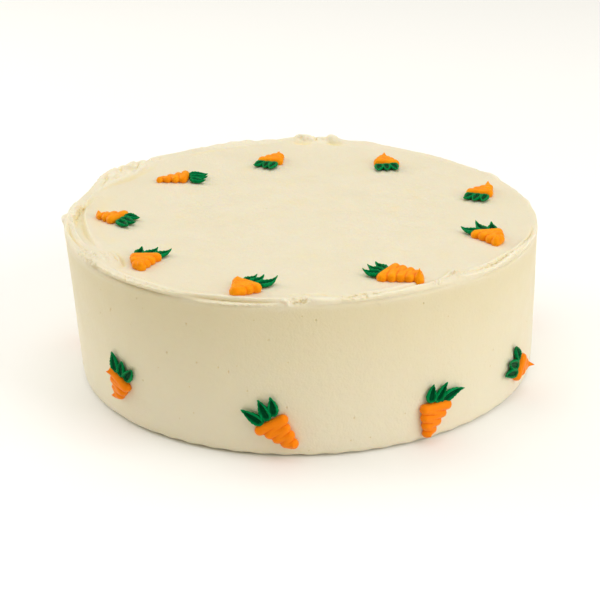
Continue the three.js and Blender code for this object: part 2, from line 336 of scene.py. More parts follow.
# %% Ridges, furrows and laps: name, route of (azimuth, across), width, lift and any lap
LEFT_STROKES = [
    ("deep furrow",
     [(170, 8.2), (174, 7.2), (177, 6.6), (181, 6), (185, 5.6), (192, 6)], 1.1, -1.7),
    ("lap of the top", [(166, 5), (173, 6), (179, 7.8), (184, 8.2),
     (190, 9.4), (197, 10), (208, 11.4)], 0.35, 1.5, 8),
    ("below the lap", [(176, 5.6), (184, 6.8), (190, 8), (197, 8.8), (205, 9.8)], 1.0, -0.9),
    ("outer ridge", [(184, 1), (192, 1.2), (198, 1.6), (205, 2.4)], 0.8, 0.9),
    ("outer furrow", [(188, 1.8), (195.5, 2.4), (201, 3), (205, 4.1), (209, 6)], 0.6, -1.1),
    ("inner edge", [(186, 3.8), (193, 4.7), (198.5, 5.4), (203, 6), (206, 7.2)], 0.5, 0.9),
    ("knob", [(182.6, 0.6), (184.4, -0.4), (186.2, -1.2)], 1.0, 1.6),
    ("glob", [(213, 8.6), (216.4, 9.6), (219.5, 8.2)], 3.2, 1.6),
    ("glob's outline",
     [(209.5, 9.6), (212.4, 13.6), (217.4, 13.8), (222, 10), (222.4, 6)], 0.7, -1.3),
    ("glob's streak", [(216.4, 10.4), (219.6, 10.2)], 0.45, -1.1),
    ("glob's ridge", [(211, 7), (215, 8.6), (219, 7)], 0.5, 0.8),
    ("glob's ridge", [(210.6, 4.4), (214.6, 6), (219.4, 4.2)], 0.5, 0.8),
    ("glob's ridge", [(212, 10.4), (214.6, 12), (217.4, 12)], 0.5, 0.7),
]
FRONT_STROKES = [
    ("flap's face", [(216, 2.4), (221, 2), (228, 1.8), (236, 1.6), (243, 1.4)], 1.3, 0.7),
    ("flap's edge", [(217, 0.8), (221, 0.4), (228, 0.2), (235, 0), (242, -0.2)], 0.5, 1.0),
    ("crease of the flap", [(222, 4.4), (226, 4.8), (234, 4.6), (237, 3.9), (242, 3)], 0.5, -0.9),
    ("undercut",
     [(216, -1), (221, -1.4), (228, -1.6), (235, -1.8), (242, -2), (246, -2.2)], 1.2, -2.0),
    ("edge of the top", [(243, 1.3), (249, 1.4), (255, 1.5), (262, 1.6), (267, 1.8)], 0.5, 0.9, 5),
    ("face over the ledge", [(244, -0.3), (250, -0.2), (256, -0.1), (265, 0.1)], 0.7, -0.9),
    ("thin ledge", [(246, -1.8), (251, -1.5), (256, -1.3), (263, -1.1)], 0.3, 0.7),
    ("under the ledge", [(246, -2.8), (254, -2.4), (263, -2.2)], 0.7, -0.5),
    ("recess", [(267.6, -0.8), (269, 0.2), (270.4, 1)], 0.8, -1.7),
    ("hanging flake", [(265, 1.4), (266.2, 0), (266.8, -1.6)], 0.6, 1.1),
    ("rough crease", [(266, 7.8), (270.6, 6.4), (274, 7.2), (276, 4.6), (279, 3)], 0.7, -0.8),
    ("thick lip", [(270.6, 1.6), (273.5, 0.4), (277.5, 0.2)], 1.4, 1.3),
    ("double edge", [(276, 3.4), (279.5, 1.2), (283.4, 2.8), (286.5, 2),
     (290.2, 3), (297, 5), (301, 6)], 0.5, -0.9),
    ("pale ridge",
     [(279, -0.4), (284, -0.2), (288, 0.4), (292, 1), (297, 2.4), (303, 3)], 0.8, 0.9),
    ("upper lap", [(280, 3), (284, 4.4), (290, 4.6), (297, 6.4), (303, 8)], 0.5, 0.7, 5),
    ("under the lip",
     [(269, -1.4), (276, -1.8), (284, -1.7), (292, -1.5), (299, -1.4), (306, -1.3)], 1.0, -1.1),
    ("slit", [(283.5, -0.8), (283.5, 2.2)], 0.4, -1.1),
    ("scratch", [(286, -2), (286.7, -4)], 0.4, 0.5),
]
RIGHT_STROKES = [
    ("step line", [(302.4, 4), (305.6, 6), (307.7, 8), (310, 9.8)], 0.5, 1.0),
    ("right knob", [(306.8, 4.6), (309.2, 3.8)], 2.3, 1.6),
    ("knob's cleft", [(306.2, 6.4), (307.2, 4.4), (307.6, 2.4)], 0.4, -0.8),
    ("lower ridge", [(307, 1.6), (309, 0.6), (312.5, 0), (316.6, -0.3),
     (322, 0.4), (327, 1.2), (334, 1.2)], 0.6, 1.2),
    ("under the ridges",
     [(307, -1.6), (312, -2), (318, -2), (324, -1.6), (331, -1.2), (337, -1.2)], 0.9, -1.0),
    ("between ridges",
     [(308.6, 3.8), (311, 2.6), (314, 2), (318, 1.6), (323, 2), (330, 2.2)], 0.5, -1.0),
    ("upper ridge",
     [(309, 6.4), (312, 4.4), (316, 3.6), (321, 3), (327, 3.2), (336, 2.8)], 0.6, 0.9),
    ("inside of it", [(311, 7.4), (316, 5.4), (322, 4.8), (330, 4.8)], 1.4, -0.5),
    ("long flake", [(329, -0.6), (332, -0.2), (337, 0.2), (341, 0), (345, 0.6)], 0.7, 1.0),
    ("under the flake", [(331, 2.6), (336, 1.8), (341, 1.6), (346, 2)], 0.5, -1.0),
    ("faint ridge", [(347, 0.6), (353, 0.4), (0, 1.2)], 0.8, 0.4),
    ("small step", [(0.6, 1.4), (3.4, 1.2), (6, 1.4)], 0.9, 0.8),
    ("right back step", [(20, 2.2), (23.5, 1.8), (28, 2)], 1.2, 0.9),
]
BACK_STROKES = [
    ("back ridge", [(62, 2), (68, 2.4), (75, 2)], 1.6, 0.4),
    ("first peak", [(78.4, 2.2), (80, 2.2), (81.8, 2.2)], 1.3, 1.3),
    ("second peak", [(86, 2.2), (88.4, 2.2), (91, 2.2)], 1.6, 0.9),
    ("hollow by a peak", [(76.6, 6), (79, 6.6), (82, 5.6)], 1.3, -1.2),
    ("hollow by a peak", [(85.6, 5.6), (88.4, 7.4), (91.6, 6.6)], 1.5, -1.3),
    ("notch", [(84.6, 1), (85, 5)], 0.8, -1.6),
    ("back furrow", [(94, 6.4), (103, 7), (116, 6)], 1.8, -0.6),
    ("lap behind", [(100, 9.4), (112, 9), (124, 8), (132, 6.4)], 0.6, 0.6, -5),
    ("lap of the lip", [(137, 5), (140.4, 6.6), (143.5, 8.4), (149, 9.4),
     (154, 8.4), (160, 6.6), (166, 5.6)], 0.6, 1.1, -5),
    ("crease in the lip", [(139, 2.4), (142, 4.6), (144.4, 7)], 0.7, -0.9),
    ("crease in the lip", [(147, 1.6), (149.4, 4), (150.4, 6.4)], 0.7, -0.9),
    ("crease in the lip", [(154, 2), (157, 4.4), (161, 5.4)], 0.7, -0.8),
    ("valley inside the lip", [(138, 10), (144, 12.4), (152, 12), (160, 9.6)], 2.0, -0.5),
]

points = points_of(coat)
pushes = np.zeros(len(points))
furrow_shade = np.zeros(len(points))
pale = np.zeros(len(points))
for name, route, width, lift, *lap in LEFT_STROKES + FRONT_STROKES + RIGHT_STROKES + BACK_STROKES:
    pushes += stroke(points, route, width, lift, *lap)
    # a warm yellow painted shade in the furrow of a stroke that presses in
    if lift < -0.6:
        furrow_shade = np.maximum(furrow_shade, stroke(points, route, width * 1.3, min(1, -0.6 * lift)))
    # a painted highlight on the ridge of a narrow stroke that lifts
    if lift > 0.6 and width < 2:
        pale = np.maximum(pale, stroke(points, route, min(width, 1.5) * 1.1, min(1, 0.9 * lift)))
# the painted shade of the furrows is kept off the wall below the rim
furrow_shade *= np.clip(lie_of(points)[1] + 1, 0, 1)
put_points(coat, points + normals_of(coat) * pushes[:, None])
paint(coat, "furrow_shade", furrow_shade)
paint(coat, "pale", pale)
print("the strokes lift up to", round(pushes.max(), 1), "mm and press", round(-pushes.min(), 1), "mm")


# %% [markdown]
# ## Lumps, torn stretches and swells
#
# Where the spatula lifts, icing tears into crumbs and small flakes. Noise in the three
# directions, held to a short stretch of the rim, gives that look. The ragged lip at the back
# left is softer: whipped lumps as large as a fingertip. The wall and the top also swell very
# slightly, as a hand-spread coat does.

# %% Torn stretches: middle (azimuth, across), half size along and across in mm, depth
TORN = [
    ("left tear", (211.5, 3.4), (10, 3.8), 0.75),
    ("under the glob", (216, 0), (6, 1.4), 0.6),
    ("skin of the glob", (216, 9), (6, 4), 0.3),
    ("broken flake", (268.5, 1.2), (6, 2.6), 0.7),
    ("flakes over it", (270.5, 6.6), (6, 1.6), 0.5),
    ("ragged edge", (282, 1.6), (14, 2.2), 0.5),
    ("crumbs", (301.2, 2.2), (2.6, 1.8), 0.65),
    ("knob's pits", (308, 4), (4, 2.8), 0.5),
    ("flake's end", (334.5, 2), (3.4, 1.2), 0.55),
    ("edge of the flap", (230, 0.4), (26, 0.9), 0.35),
    ("edge of the ledge", (256, -1.6), (18, 1.2), 0.3),
    ("right edge", (321, 1.2), (24, 2.2), 0.42),
    ("lip's crumbs", (186, 4), (20, 3), 0.35),
]
SOFT_LUMPS = [  # middle, half size, depth and the size of one lump
    ("ragged lip", (148, 3.6), (30, 5.4), 1.2, 6.5),
    ("left lip", (180, 3), (16, 4), 0.7, 4.0),
    ("back peaks", (85, 2), (14, 4.5), 0.8, 4.5),
    ("back rim", (108, 2.6), (28, 4), 0.4, 7.0),
    ("right rim", (30, 1), (100, 3), 0.2, 9.0),
]
CRUMB_SIZE, FLAKE_SIZE = 1.9, 2.4  # mm
SWELL_SIZE, SWELL_DEPTH = 16, 0.22  # of the wall and the top, in mm


def patch(azimuth, across, middle, half):
    """1 in the middle of an oval patch of the rim, fading to 0 past its edge."""
    along = ((azimuth - middle[0] + 180) % 360 - 180) * ARC
    return np.exp(-(np.hypot(along / half[0], (across - middle[1]) / half[1]) ** 4))


azimuth, across = lie_of(points_of(coat))
face_azimuth, face_across = lie_of(middles_of(coat))
to_cut = np.zeros(len(face_azimuth), dtype=bool)
for name, middle, half, depth in TORN:
    to_cut |= patch(face_azimuth, face_across, middle, half) > 0.38
cut_finer(coat, to_cut)

points = points_of(coat)
normals = normals_of(coat)
azimuth, across = lie_of(points)
roughness = np.zeros(len(points))
for name, middle, half, depth in TORN:
    roughness += depth * patch(azimuth, across, middle, half)
ragged = roughness > 0.01
crumbs = np.zeros_like(points)
for axis, shift in enumerate((0.0, 31.7, 57.1)):
    crumbs[ragged, axis] = noise_at(points[ragged] + shift, CRUMB_SIZE)
crumbs[ragged] += normals[ragged] * np.abs(noise_at(points[ragged] + 11.3, FLAKE_SIZE))[:, None]
points += crumbs * roughness[:, None]

# how much paler the coat is made along the soft lumps of the rim
paler_rim = np.zeros(len(points))
for name, middle, half, depth, size in SOFT_LUMPS:
    share = patch(azimuth, across, middle, half)
    paler_rim = np.maximum(paler_rim, share * min(1, 1.5 * depth))
    near = share > 0.01
    swell = 1 - 2 * np.abs(noise_at(points[near] + 5.0, size, 2))
    points[near] += normals[near] * (share[near] * depth * swell)[:, None]

swell = noise_at(points / (1, 1, 2.4), SWELL_SIZE, 2) * SWELL_DEPTH
points += normals * (swell * (points[:, 2] > 2))[:, None]
put_points(coat, points)
paint(coat, "paler_rim", paler_rim)
print("the torn stretches cut", int(to_cut.sum()), "faces finer")


# %% [markdown]
# ## Air pits and small marks
#
# Whipped icing holds air bubbles, and the spatula opens some of them into pits about a
# millimetre wide. They sit where the mesh is coarse, so the faces round each one are cut finer
# in a few rounds, each closer in, before the points inside are pressed. The pits of the front
# are listed one by one and those of the far side are drawn with a fixed seed.

# %% Pits: (azimuth, height, radius), slits: (azimuth, height, half length, turn)
FRONT_PITS = [
    (217, 53.4, 0.4), (231.5, 69, 0.35), (243.7, 61.8, 0.45), (237.8, 45.8, 0.5),
    (245.2, 43.6, 0.5), (250.3, 42.7, 0.45), (229.4, 27.8, 0.5), (242.7, 30.8, 0.35),
    (256.6, 32.4, 0.45), (266, 46.5, 0.35), (234.8, 37.1, 0.35), (228.3, 54.8, 0.3),
    (224.8, 46.1, 0.3), (232.7, 64.8, 0.35), (247, 59.4, 0.3), (254.6, 44, 0.3),
    (272.3, 65.7, 0.45), (269.3, 67.8, 0.35), (265.3, 25, 0.5), (280.5, 18.3, 0.45),
    (292.7, 16.5, 0.35), (279.7, 7.5, 0.35), (270, 3.6, 0.3), (284.3, 7.8, 0.35), (243, 18, 0.4),
    (239, 13.5, 0.35), (318.6, 32.4, 0.4), (317.8, 25, 0.35), (336.6, 32.4, 0.4),
    (303.7, 57.3, 0.35), (297, 66.4, 0.45), (219, 66, 0.35), (259, 66, 0.35),
]
SLITS = [(221.8, 58.1, 1.2, 60), (223.4, 26, 1.3, -40), (252.6, 41, 0.8, 80), (262, 57, 0.7, 20)]
TOP_MARKS = [(-16, 0.8, 0.5), (9.8, -0.4, 0.7), (34, -41, 0.35), (-52, -38, 0.35), (61, 12, 0.35)]

chance = np.random.default_rng(12)
far_pits = [
    (azimuth % 360, 5 + 64 * chance.random() ** 1.3, 0.3 + 0.2 * chance.random())
    for azimuth in chance.uniform(-15, 208, 40)
]


def tree_of(piece):
    """The piece as a tree of faces, which a ray can be cast at."""
    faces = [face.vertices for face in piece.data.polygons]
    return BVHTree.FromPolygons([vertex.co for vertex in piece.data.vertices], faces)


coat_tree = tree_of(coat)
OUTSIDE = 0.2  # m, from where the rays start, well clear of the cake


def on_wall(azimuth, height):
    """The point of the coat's wall at an azimuth and a height, and the way it faces."""
    away = Vector((math.cos(math.radians(azimuth)), math.sin(math.radians(azimuth)), 0))
    place, facing, _, _ = coat_tree.ray_cast(away * OUTSIDE + Vector((0, 0, height * MM)), -away)
    return np.array(place) / MM, np.array(facing)


def on_top(x, y):
    start = Vector((x * MM, y * MM, OUTSIDE))
    place, facing, _, _ = coat_tree.ray_cast(start, Vector((0, 0, -1)))
    return np.array(place) / MM, np.array(facing)


dents = []  # place, the way it faces, half sizes along and across, the way it runs
for azimuth, height, radius in FRONT_PITS + far_pits:
    place, facing = on_wall(azimuth, height)
    dents.append((place, facing, radius, radius, np.array((0, 0, 1))))
for azimuth, height, half_length, turn in SLITS:
    place, facing = on_wall(azimuth, height)
    level = np.cross((0, 0, 1), facing)
    way = level * math.cos(math.radians(turn)) + np.array((0, 0, math.sin(math.radians(turn))))
    dents.append((place, facing, half_length, 0.35, way))
for x, y, radius in TOP_MARKS:
    place, facing = on_top(x, y)
    dents.append((place, facing, radius * 1.6, radius * 0.7, np.array((0.95, -0.3, 0))))

# %% The mesh cut finer round each pit, and the pits pressed in
dent_places = np.array([dent[0] for dent in dents])
for reach in (3.2, 1.9, 1.2):
    middles = middles_of(coat)
    near = np.zeros(len(middles), dtype=bool)
    for place in dent_places:
        near |= ((middles - place) ** 2).sum(axis=1) < reach**2
    cut_finer(coat, near)

points = points_of(coat)
pit = np.zeros(len(points))
for place, facing, half_length, half_width, way in dents:
    near = np.flatnonzero(((points - place) ** 2).sum(axis=1) < 16)
    offset = points[near] - place
    along = offset @ way / half_length
    aside = offset @ np.cross(facing, way) / half_width
    off = np.hypot(along, aside)
    hollow = grip(off, 1.0)
    brim = grip(off - 1.5, 0.5) * 0.12
    points[near] += facing * (brim - hollow * 0.7 * half_width)[:, None]
    pit[near] = np.maximum(pit[near], hollow)
put_points(coat, points)
paint(coat, "pit", pit)
print(len(dents), "pits bring the coat to", len(coat.data.polygons), "faces")


# %% A light smoothing of the rim
SMOOTHED_BAND = (-7, 15)  # mm across the rim


def neighbours_of(piece):
    edges = np.empty(2 * len(piece.data.edges), dtype=int)
    piece.data.edges.foreach_get("vertices", edges)
    return edges.reshape(-1, 2)


def softened(points, edges, rounds):
    """Each point drawn halfway to the middle of its neighbours, a few times over."""
    count = np.bincount(edges.ravel(), minlength=len(points))[:, None]
    for _ in range(rounds):
        total = np.zeros_like(points)
        np.add.at(total, edges[:, 0], points[edges[:, 1]])
        np.add.at(total, edges[:, 1], points[edges[:, 0]])
        points = points + 0.5 * (total / count - points)
    return points


def sunk_by(piece, points, edges, rounds, depth):
    """0 to 1: how far each point lies below its surroundings, as a share of this depth."""
    sunk = ((softened(points, edges, rounds) - points) * normals_of(piece)).sum(axis=1)
    return np.clip(sunk / depth, 0, 1)


points = points_of(coat)
across = lie_of(points)[1]
edges = neighbours_of(coat)
from_outside, from_inside = across - SMOOTHED_BAND[0], SMOOTHED_BAND[1] - across
share = np.clip(from_outside / 3, 0, 1) * np.clip(from_inside / 4, 0, 1) * 0.6
points += (softened(points, edges, 1) - points) * share[:, None]
put_points(coat, points)
# painted shade: how far each point of the rim sinks below its surroundings, for a warm yellow in the
# crevices
paint(coat, "crevice_shade", sunk_by(coat, points, edges, 5, 0.2))
coat.data.shade_smooth()
finish_piece(coat, "cream_icing", "frosted_cake")
print("the coat has", sum(len(face.vertices) - 2 for face in coat.data.polygons), "triangles")


# %% [markdown]
# ## Seats for the piped carrots
#
# Every carrot is piped on the icing, so it follows whatever the coat does below it. The frame
# gives each carrot's place: its root's solid runs from one pole at the shoulder to one at the
# tip, and the sharpest corners of its tuft are the tips of the leaves. A carrot is shaped flat,
# with x from the shoulder to the tip, y across and z off the icing, and then laid on its seat.

# %% Corners of a solid of the frame
def corners_of(node):
    """The merged corners of a solid in mm, and the pairs of them that share an edge."""
    solid = frame["nodes"][node]
    corners, which = np.unique(points_of(solid).round(3), axis=0, return_inverse=True)
    pairs = which.ravel()[neighbours_of(solid)]
    return corners, np.unique(np.sort(pairs, axis=1), axis=0)


def poles_of(root_node, leaves_node):
    """The shoulder and the tip of a root: the two corners where eight edges meet."""
    corners, pairs = corners_of(root_node)
    poles = corners[np.bincount(pairs.ravel()) == 8]
    low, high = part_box(leaves_node)
    tuft_middle = (np.array(low) + np.array(high)) / 2 / MM
    distances = np.linalg.norm(poles - tuft_middle, axis=1)
    return poles[distances.argmin()], poles[distances.argmax()]


def leaf_tips_of(leaves_node):
    """The three sharpest corners of a tuft."""
    corners, pairs = corners_of(leaves_node)
    away = corners[pairs[:, 1]] - corners[pairs[:, 0]]
    away /= np.linalg.norm(away, axis=1)[:, None]
    total = np.zeros_like(corners)
    np.add.at(total, pairs[:, 0], away)
    np.add.at(total, pairs[:, 1], -away)
    sharpness = np.linalg.norm(total, axis=1) / np.bincount(pairs.ravel())
    tips = []
    for corner in corners[np.argsort(-sharpness)]:
        if all(np.linalg.norm(corner - tip) > 2 for tip in tips):
            tips.append(corner)
        if len(tips) == 3:
            return np.array(tips)


# %% The seats
SINK = 0.15  # mm that a piped piece is pressed into the icing
OFF_THE_TOP = np.array((0.021, -0.001, 1))  # square to the sloping top


class TopSeat:
    """A place on the top, with x from the shoulder of a root to its tip and y across."""

    def __init__(self, shoulder, tip):
        self.shoulder = shoulder
        run = self.offset_of(tip)
        self.length = np.linalg.norm(run)
        self.x_way = run / self.length
        self.y_way = np.array((-self.x_way[1], self.x_way[0]))

    def offset_of(self, point):
        """How far a point lies from the shoulder, in mm along the icing."""
        return point[:2] - self.shoulder[:2]

    def flatten(self, point):
        offset = self.offset_of(point)
        return np.array((offset @ self.x_way, offset @ self.y_way))

    def spots_of(self, points):
        return points[:, :1] * self.x_way + points[:, 1:2] * self.y_way

    def lay(self, points):
        """The points of a flat piece laid on the icing."""
        laid = np.array([on_top(x, y)[0] for x, y in self.shoulder[:2] + self.spots_of(points)])
        return laid + OFF_THE_TOP * (points[:, 2:] - SINK)


class WallSeat(TopSeat):
    """The same on the wall, where the icing runs round the cake and up it."""

    def __init__(self, shoulder, tip):
        self.azimuth = math.degrees(math.atan2(shoulder[1], shoulder[0]))
        self.radius = math.hypot(shoulder[0], shoulder[1])
        super().__init__(shoulder, tip)

    def offset_of(self, point):
        azimuth = math.degrees(math.atan2(point[1], point[0]))
        turn = math.radians((azimuth - self.azimuth + 180) % 360 - 180)
        return np.array((turn * self.radius, point[2] - self.shoulder[2]))

    def lay(self, points):
        round_it, up = self.spots_of(points).T
        azimuths = self.azimuth + np.degrees(round_it / self.radius)
        heights = self.shoulder[2] + up
        laid = np.array([on_wall(a, height)[0] for a, height in zip(azimuths, heights)])
        radial = np.c_[np.cos(np.radians(azimuths)), np.sin(np.radians(azimuths)), 0 * azimuths]
        return laid + radial * (points[:, 2:] - SINK)


coat_tree = tree_of(coat)  # the coat with all of its marks
seats, tip_spots, shoulder_widths = {}, {}, {}
for place in [f"{part}_{i}" for part in ("top", "wall") for i in range(1, 10)]:
    root_node, leaves_node = f"carrot_root_{place}", f"carrot_leaves_{place}"
    seat_kind = TopSeat if place.startswith("top") else WallSeat
    seats[place] = seat = seat_kind(*poles_of(root_node, leaves_node))
    spots = np.array([seat.flatten(tip) for tip in leaf_tips_of(leaves_node)])
    tip_spots[place] = spots[np.argsort(-spots[:, 1])]
    sides = np.array([seat.flatten(corner)[1] for corner in corners_of(root_node)[0]])
    shoulder_widths[place] = np.ptp(sides)
    print(place, "root", round(seat.length, 1), "x", round(np.ptp(sides), 1), "mm, leaf tips",
          tip_spots[place].round(1).tolist())


# %% [markdown]
# ## The orange roots
#
# A root is one bead of icing, piped in a zigzag from the shoulder to the tip while it narrows.
# Each pass is a rounded sausage that lies against the pass before, so the outline is scalloped
# and creases run across the top. One pass is a ball cut in half and pulled apart. It is modelled
# once, and its copies are set from turn to turn. A voxel remesh then melts them into one skin,
# as the icing does.

# %% One pass of the bead
PULL = 2.0  # mm that the halves of a ball of 1 mm radius are pulled apart

alone(coat)
bpy.ops.object.select_all(action="DESELECT")
bpy.ops.mesh.primitive_uv_sphere_add(
    segments=20, ring_count=12, radius=MM, rotation=(0, math.pi / 2, 0)
)
standard_pass = bpy.context.active_object
standard_pass.name = "standard_pass"
bpy.ops.object.transform_apply(location=True, rotation=True, scale=True)
select_faces(standard_pass, [face.center.x > 0 for face in standard_pass.data.polygons])
bpy.ops.object.mode_set(mode="EDIT")
bpy.ops.mesh.extrude_region_move(TRANSFORM_OT_translate={"value": (PULL * MM, 0, 0)})
bpy.ops.object.mode_set(mode="OBJECT")
print("one pass has", len(standard_pass.data.polygons), "faces")


def copy_of(pattern):
    """A copy of a modelled piece, with a mesh of its own."""
    copy = pattern.copy()
    copy.data = pattern.data.copy()
    bpy.context.scene.collection.objects.link(copy)
    return copy


def lay_pass(start, end, start_radius, end_radius):
    """A copy of the standard pass from one turn to the next, each (x, y, height) in mm."""
    copy = copy_of(standard_pass)
    points = points_of(copy)
    far = points[:, 0] > PULL / 2
    points[far, 0] -= PULL
    way = (end - start) / np.linalg.norm(end - start)
    side = np.cross((0, 0, 1), way)
    side /= np.linalg.norm(side)
    axes = np.array((way, side, np.cross(way, side)))
    radius = np.where(far, end_radius, start_radius)[:, None]
    put_points(copy, np.where(far[:, None], end, start) + (points * radius) @ axes)
    return copy


# %% The zigzag of one root
BEAD = 2.4  # radius in mm at the shoulder
PITCH = 4.3  # from one turn to the next on the same side
TAPER = 0.85  # below 1 a root narrows more near its shoulder
VOXEL = 0.27  # the finest detail that the melting keeps
PEAK_RADIUS = 0.75
RING_RADIUS = 1.1


def join_as(name, pieces):
    """Joins the pieces into one of this name."""
    alone(*pieces)
    bpy.ops.object.join()
    joined = bpy.context.active_object
    joined.name = joined.data.name = name
    return joined


def pipe_root(name, length, shoulder, first_side, tip_share, tip_bead, seed):
    """A root as piped, still flat: x runs from the shoulder to the tip."""
    draw = np.random.default_rng(seed)
    passes = max(4, round((length - 2 * BEAD) / PITCH * 2) + 1)
    turns = []
    for i in range(passes + 1):
        share = i / passes
        radius = BEAD + (tip_bead - BEAD) * share
        half_width = shoulder / 2 * (1 + (tip_share - 1) * share**TAPER) - radius
        half_width = max(half_width * draw.uniform(0.9, 1.1), 0.15)
        x = BEAD + (length - BEAD - tip_bead) * share + draw.uniform(-0.25, 0.25)
        side = first_side * (-1) ** i
        height = radius * 0.5 + (0.3 if i % 2 else 0.0) + 0.3 * math.sin(3 * share)
        turns.append((np.array((x, side * half_width, height)), radius))
    beads = [lay_pass(p, q, r, s) for (p, r), (q, s) in zip(turns, turns[1:])]
    root = join_as(name, beads)
    apply_modifier(root, "REMESH", mode="VOXEL", voxel_size=VOXEL * MM)
    apply_modifier(root, "SMOOTH", factor=0.5, iterations=3)
    return root, turns


def pull_off(points, spot, height, lean):
    """A small peak where the tip of the piping bag was pulled away."""
    far = np.hypot(points[:, 0] - spot[0], points[:, 1] - spot[1])
    upper = np.clip((points[:, 2] - 1.2) / 1.2, 0, 1)
    share = np.exp(-((far / PEAK_RADIUS) ** 1.4)) * upper
    points[:, 2] += height * share
    points[:, 0] += lean[0] * share
    points[:, 1] += lean[1] * share


def ring_mark(points, spot):
    """The last turn of the bead shows as a low ring round its peak."""
    far = np.hypot(points[:, 0] - spot[0], points[:, 1] - spot[1])
    wave = grip(far - RING_RADIUS, 0.45) - 0.8 * grip(far - RING_RADIUS - 0.8, 0.4)
    points[:, 2] += 0.28 * wave * (points[:, 2] > 1.5)


# %% Each root: first side, width of the tip as a share of the shoulder, its bead, peaks, ring
# A peak is (turn, height, lean along, lean across).
ROOTS = {
    "top_1": (1, 0.42, 1.9, [(-1, 0.9, 0.3, -0.6)], False),
    "top_2": (-1, 0.4, 1.6, [(-1, 0.4, 0, 0)], False),
    "top_3": (-1, 0.34, 1.7, [(-1, 1.1, 0.4, 0)], False),
    "top_4": (1, 0.4, 2.2, [(-1, 0.7, 0, 0)], True),
    "top_5": (-1, 0.34, 2.6, [(-1, 0.3, 0, 0), (0, 0.7, 0, 0)], False),
    "top_6": (-1, 0.5, 2.3, [(-1, 3.1, 0.2, 0)], False),
    "top_7": (-1, 0.4, 2.2, [(-1, 1.0, 0, 0)], True),
    "top_8": (1, 0.34, 1.8, [(-1, 1.5, 0.5, 0)], False),
    "top_9": (-1, 0.32, 1.8, [(-1, 1.3, 0.4, 0)], False),
    "wall_1": (-1, 0.36, 2.1, [(0, 1.0, 0, -1.6), (-1, 0.8, 0.2, -1.4)], False),
    "wall_2": (-1, 0.4, 2.5, [(-1, 0.9, 0.3, 0.2), (2, 0.5, 0, -0.4)], False),
    "wall_3": (1, 0.36, 2.2, [(-1, 0.7, 0.8, 0.5)], False),
    "wall_4": (-1, 0.36, 2.0, [(-1, 2.6, 0.6, 0)], False),
    "wall_5": (1, 0.38, 2.3, [(-1, 0.9, 0.4, 0)], True),
    "wall_6": (-1, 0.4, 2.1, [(-1, 1.6, 0.3, 0.2)], False),
    "wall_7": (1, 0.42, 2.3, [(-1, 0.6, 0, 0)], False),
    "wall_8": (-1, 0.36, 2.1, [(-1, 1.2, 0.5, -0.2)], False),
    "wall_9": (1, 0.4, 2.2, [(-1, 0.8, 0.2, 0)], True),
}
for seed, (place, shape) in enumerate(ROOTS.items()):
    first_side, tip_share, tip_bead, peaks, ringed = shape
    seat = seats[place]
    name = f"piped_root_{place}"
    width = shoulder_widths[place]
    root, turns = pipe_root(name, seat.length, width, first_side, tip_share, tip_bead, 40 + seed)
    points = points_of(root)
    # painted shade for the creases between the passes: how far each point sinks below its
    # surroundings
    paint(root, "crease", sunk_by(root, points, neighbours_of(root), 14, 0.18))
    points[:, 2] = np.maximum(points[:, 2], 0)
    points += normals_of(root) * (0.09 * noise_at(points + 50 * seed, 1.6, 2))[:, None]
    if ringed:
        ring_mark(points, turns[-1][0])
    for turn, height, lean_along, lean_across in peaks:
        pull_off(points, turns[turn][0][:2], height, (lean_along, lean_across))
    put_points(root, seat.lay(points))
    root.data.shade_smooth()
    finish_piece(root, "orange_icing", f"carrot_root_{place}")
print("the last root has", len(root.data.polygons), "faces and", len(turns) - 1, "passes")


# %% [markdown]
# ## The green leaves
#
# A leaf is pressed from a tip with a V cut: it leaves a teardrop with two raised edges, a
# hollow between them with fine ridges, and a point that curls up where the bag was pulled away.
# One leaf is modelled as a stack of rings: a circle is extruded and scaled from the foot to the
# point, and subdivision rounds it. Its copies are then stretched to their length, bent to their
# tip and furrowed, three to a tuft.

# %% One leaf, lying along x
LEAF_STATIONS = [  # share of the length, half width, half height: shares of the widest
    (0.02, 0.52, 0.55), (0.1, 0.78, 0.85), (0.24, 1.0, 1.0), (0.42, 0.96, 1.0),
    (0.6, 0.72, 0.86), (0.76, 0.44, 0.66), (0.88, 0.24, 0.44), (0.96, 0.13, 0.26),
]
alone(coat)
bpy.ops.object.select_all(action="DESELECT")
bpy.ops.mesh.primitive_circle_add(
    vertices=16, radius=0.3 * MM, fill_type="NGON", rotation=(0, -math.pi / 2, 0)
)
standard_leaf = bpy.context.active_object
standard_leaf.name = "standard_leaf"
bpy.ops.object.transform_apply(location=True, rotation=True, scale=True)
bpy.ops.object.mode_set(mode="EDIT")
bpy.ops.mesh.select_all(action="SELECT")
reached, width, height = 0.0, 0.3, 0.3
for share, half_width, half_height in LEAF_STATIONS:
    bpy.ops.mesh.extrude_region_move(
        TRANSFORM_OT_translate={"value": ((share - reached) * MM, 0, 0)}
    )
    bpy.ops.transform.resize(
        value=(1, half_width / width, half_height / height), center_override=(0, 0, 0)
    )
    reached, width, height = share, half_width, half_height
bpy.ops.mesh.extrude_region_move(TRANSFORM_OT_translate={"value": ((1 - reached) * MM, 0, 0)})
bpy.ops.mesh.merge(type="CENTER")
bpy.ops.mesh.select_all(action="SELECT")
bpy.ops.mesh.normals_make_consistent(inside=False)
bpy.ops.object.mode_set(mode="OBJECT")
apply_modifier(standard_leaf, "SUBSURF", levels=2, render_levels=2)
print("one leaf has", len(standard_leaf.data.polygons), "faces")


# %% A leaf bent to its place
LEAF_SPACING = 2.9  # between the feet of neighbouring leaves
LEAF_HALF_WIDTH = 2.75
LEAF_HALF_HEIGHT = 1.3


